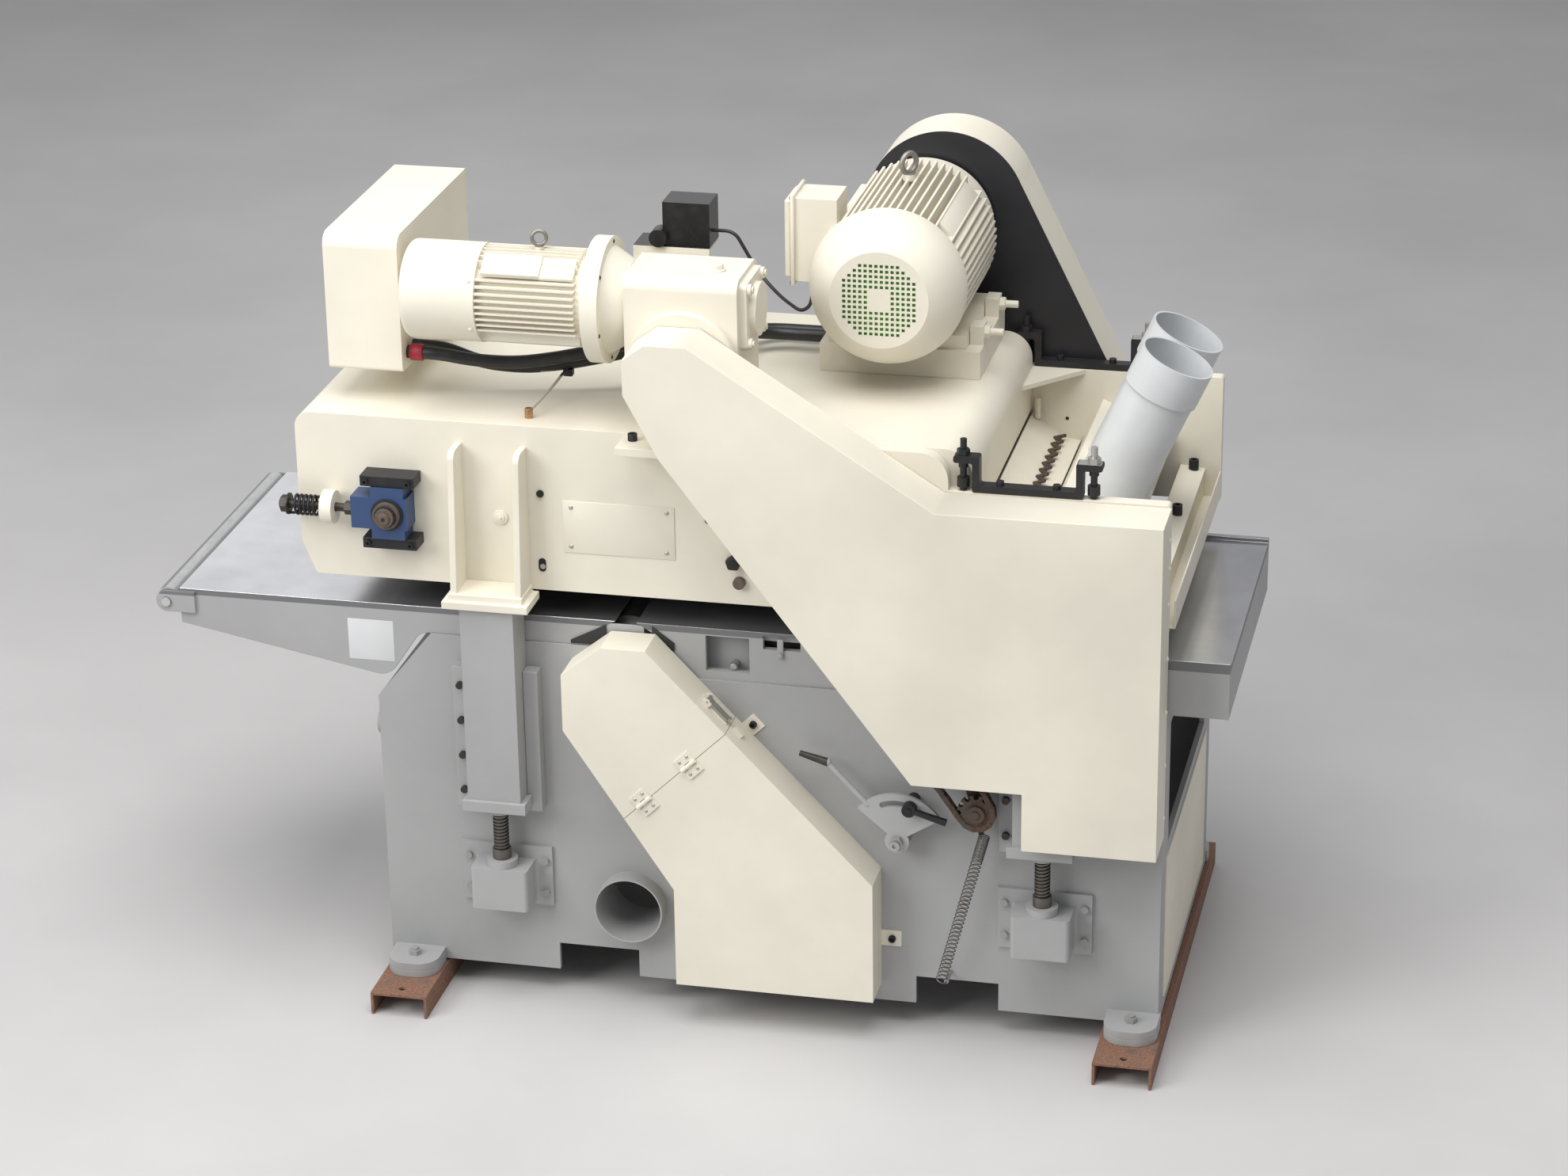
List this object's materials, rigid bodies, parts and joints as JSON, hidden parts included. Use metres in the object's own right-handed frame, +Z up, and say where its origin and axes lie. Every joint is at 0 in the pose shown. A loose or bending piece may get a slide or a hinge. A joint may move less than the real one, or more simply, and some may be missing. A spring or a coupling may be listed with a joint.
{
  "type": "double-sided planer",
  "caption": "Floor-standing double-sided wood planer: grey base with infeed and outfeed tables, cream lifting head with track feed, motors, belt and chain covers and dust pipes.",
  "frame": {"origin": "middle of the machine's box, on the floor", "axes": "+X along the feed from the infeed roller to the outfeed end, +Y from the front to the back, +Z up"},
  "size_m": [2.3256, 1.123, 1.7815],
  "materials": {
    "cream": "semi-gloss warm ivory enamel",
    "grey": "satin mid grey enamel",
    "table": "ground cast iron",
    "steel": "bright turned steel",
    "black": "black oxide",
    "blue": "blue enamel",
    "rust": "rusty mill scale",
    "pipe": "grey pipe plastic",
    "cord": "black sheath",
    "belt": "black rubber",
    "box": "black moulded plastic",
    "red": "red push button",
    "green": "green push button"
  },
  "bodies": {
    "base": {"skid_channels": "rust", "foot_plates": "grey", "base_frame": "grey", "base_end_panel": "cream", "infeed_table": "table", "outfeed_table": "table", "lower_belt_cover": "cream", "lower_motor": "grey", "lower_drive_belts": "belt", "jack_housings": "grey", "frame_bolts": "steel", "guide_strips": "grey", "tension_spring": "steel", "feed_chain": "rust"},
    "flap": {"cover_flap": "cream"},
    "latch": {"cover_latch": "steel"},
    "table_roller": {"end_roller": "steel"},
    "outfeed_roller": {"feed_roller": "steel"},
    "lower_pulley": {"lower_motor_pulley": "steel"},
    "lower_cutter": {"lower_cutterhead": "steel"},
    "screw_front_left": {"lift_screw_front_left": "steel"},
    "screw_front_right": {"lift_screw_front_right": "steel"},
    "screw_rear_left": {"lift_screw_rear_left": "steel"},
    "screw_rear_right": {"lift_screw_rear_right": "steel"},
    "lever": {"adjust_lever": "grey"},
    "clamp": {"clamp_handle": "black"},
    "arm": {"tension_arm": "rust"},
    "tension_wheel": {"tension_sprocket": "rust"},
    "head": {"head_side_plates": "cream", "head_top_shell": "cream", "lift_columns": "grey", "column_brackets": "cream", "chain_cover": "cream", "takeup_guides": "black", "feed_track": "belt", "feed_motor": "cream", "gearbox": "cream", "motor_base": "cream", "main_motor": "cream", "main_motor_cowl": "cream", "upper_drive_belts": "belt", "upper_belt_cover": "cream", "upper_cover_backplate": "black", "dust_hood": "cream", "dust_pipes": "pipe", "chip_breaker": "cream", "outfeed_guard": "cream", "pressure_brackets": "black", "control_box": "cream", "switch_box": "box", "cables": "cord", "takeup_springs": "steel"},
    "gear_output": {"gearbox_sprocket": "steel"},
    "upper_pulley": {"upper_motor_pulley": "steel"},
    "upper_cutter": {"upper_cutterhead": "steel"},
    "drive_drum": {"track_drive": "steel"},
    "takeup": {"takeup_unit": "blue"},
    "idler_drum": {"track_idler": "steel"},
    "stop": {"stop_button": "red"},
    "start": {"start_button": "green"}
  },
  "joints": [
    {"name": "head_lift", "type": "slide", "parent": "base", "child": "head", "axis": [0, 0, 1], "range_m": [-0.035, 0.1], "deforming": ["feed_chain"]},
    {"name": "flap_hinge", "type": "hinge", "parent": "base", "child": "flap", "pos_m": [-0.00791, -0.4869, 0.57698], "axis": [0.7207, 0, 0.6933], "range_deg": [0, 95]},
    {"name": "latch_pivot", "type": "hinge", "parent": "flap", "child": "latch", "pos_m": [0.07868, -0.434, 0.76019], "axis": [0, -1, 0], "range_deg": [0, 75]},
    {"name": "end_roller_spin", "type": "hinge", "parent": "base", "child": "table_roller", "pos_m": [-1.13475, 0, 0.868], "axis": [0, 1, 0], "continuous": true},
    {"name": "lower_cutter_spin", "type": "hinge", "parent": "base", "child": "lower_cutter", "pos_m": [-0.11175, 0, 0.834], "axis": [0, 1, 0], "continuous": true},
    {"name": "lower_motor_spin", "type": "hinge", "parent": "base", "child": "lower_pulley", "pos_m": [0.21825, 0, 0.24], "axis": [0, 1, 0], "continuous": true},
    {"name": "track_drive_spin", "type": "hinge", "parent": "head", "child": "drive_drum", "pos_m": [0.41325, 0, 1.13], "axis": [0, 1, 0], "continuous": true},
    {"name": "gearbox_spin", "type": "hinge", "parent": "head", "child": "gear_output", "pos_m": [0.02325, 0, 1.478], "axis": [0, 1, 0], "continuous": true},
    {"name": "feed_roller_spin", "type": "hinge", "parent": "base", "child": "outfeed_roller", "pos_m": [0.57325, 0, 0.8664], "axis": [0, 1, 0], "continuous": true},
    {"name": "tension_swing", "type": "hinge", "parent": "base", "child": "arm", "pos_m": [0.62325, -0.4305, 0.68], "axis": [0, 1, 0], "range_deg": [-4, 4], "stiffness_Nm_per_rad": 40, "deforming": ["tension_spring", "feed_chain"]},
    {"name": "tension_spin", "type": "hinge", "parent": "arm", "child": "tension_wheel", "pos_m": [0.65125, 0, 0.557], "axis": [0, 1, 0], "continuous": true},
    {"name": "takeup_slide", "type": "slide", "parent": "head", "child": "takeup", "axis": [1, 0, 0], "range_m": [-0.01, 0.01], "stiffness_N_per_m": 60000, "deforming": ["takeup_springs", "feed_track"]},
    {"name": "idler_spin", "type": "hinge", "parent": "takeup", "child": "idler_drum", "pos_m": [-0.60475, 0, 1.13], "axis": [0, 1, 0], "continuous": true},
    {"name": "upper_cutter_spin", "type": "hinge", "parent": "head", "child": "upper_cutter", "pos_m": [0.77325, 0, 1.01], "axis": [0, 1, 0], "continuous": true},
    {"name": "upper_motor_spin", "type": "hinge", "parent": "head", "child": "upper_pulley", "pos_m": [0.38325, 0, 1.556], "axis": [0, 1, 0], "continuous": true},
    {"name": "lever_swing", "type": "hinge", "parent": "base", "child": "lever", "pos_m": [0.47825, -0.4285, 0.464], "axis": [0, -1, 0], "range_deg": [-20, 6]},
    {"name": "clamp_turn", "type": "hinge", "parent": "base", "child": "clamp", "pos_m": [0.5069, -0.4265, 0.54721], "axis": [0, -1, 0], "range_deg": [-30, 20]},
    {"name": "stop_press", "type": "slide", "parent": "head", "child": "stop", "axis": [1, 0, 0], "range_m": [0, 0.004], "stiffness_N_per_m": 800},
    {"name": "start_press", "type": "slide", "parent": "head", "child": "start", "axis": [1, 0, 0], "range_m": [0, 0.004], "stiffness_N_per_m": 800},
    {"name": "screw_front_left_turn", "type": "hinge", "parent": "base", "child": "screw_front_left", "pos_m": [-0.39075, -0.4315, 0.3], "axis": [0, 0, 1], "continuous": true},
    {"name": "screw_front_right_turn", "type": "hinge", "parent": "base", "child": "screw_front_right", "pos_m": [0.78875, -0.4315, 0.3], "axis": [0, 0, 1], "continuous": true},
    {"name": "screw_rear_left_turn", "type": "hinge", "parent": "base", "child": "screw_rear_left", "pos_m": [-0.39075, 0.4585, 0.3], "axis": [0, 0, 1], "continuous": true},
    {"name": "screw_rear_right_turn", "type": "hinge", "parent": "base", "child": "screw_rear_right", "pos_m": [0.33325, 0.4585, 0.3], "axis": [0, 0, 1], "continuous": true}
  ],
  "couplings": [
    {"joint": "lower_motor_spin", "follows": "lower_cutter_spin", "ratio": 0.43152},
    {"joint": "upper_motor_spin", "follows": "upper_cutter_spin", "ratio": 0.63592},
    {"joint": "gearbox_spin", "follows": "track_drive_spin", "ratio": 1.1765},
    {"joint": "tension_spin", "follows": "track_drive_spin", "ratio": 1.6667},
    {"joint": "feed_roller_spin", "follows": "track_drive_spin", "ratio": -1.4286},
    {"joint": "idler_spin", "follows": "track_drive_spin", "ratio": 1},
    {"joint": "screw_front_left_turn", "follows": "head_lift", "rad_per_m": 523.6},
    {"joint": "screw_front_right_turn", "follows": "head_lift", "rad_per_m": 523.6},
    {"joint": "screw_rear_left_turn", "follows": "head_lift", "rad_per_m": 523.6},
    {"joint": "screw_rear_right_turn", "follows": "head_lift", "rad_per_m": 523.6}
  ]
}
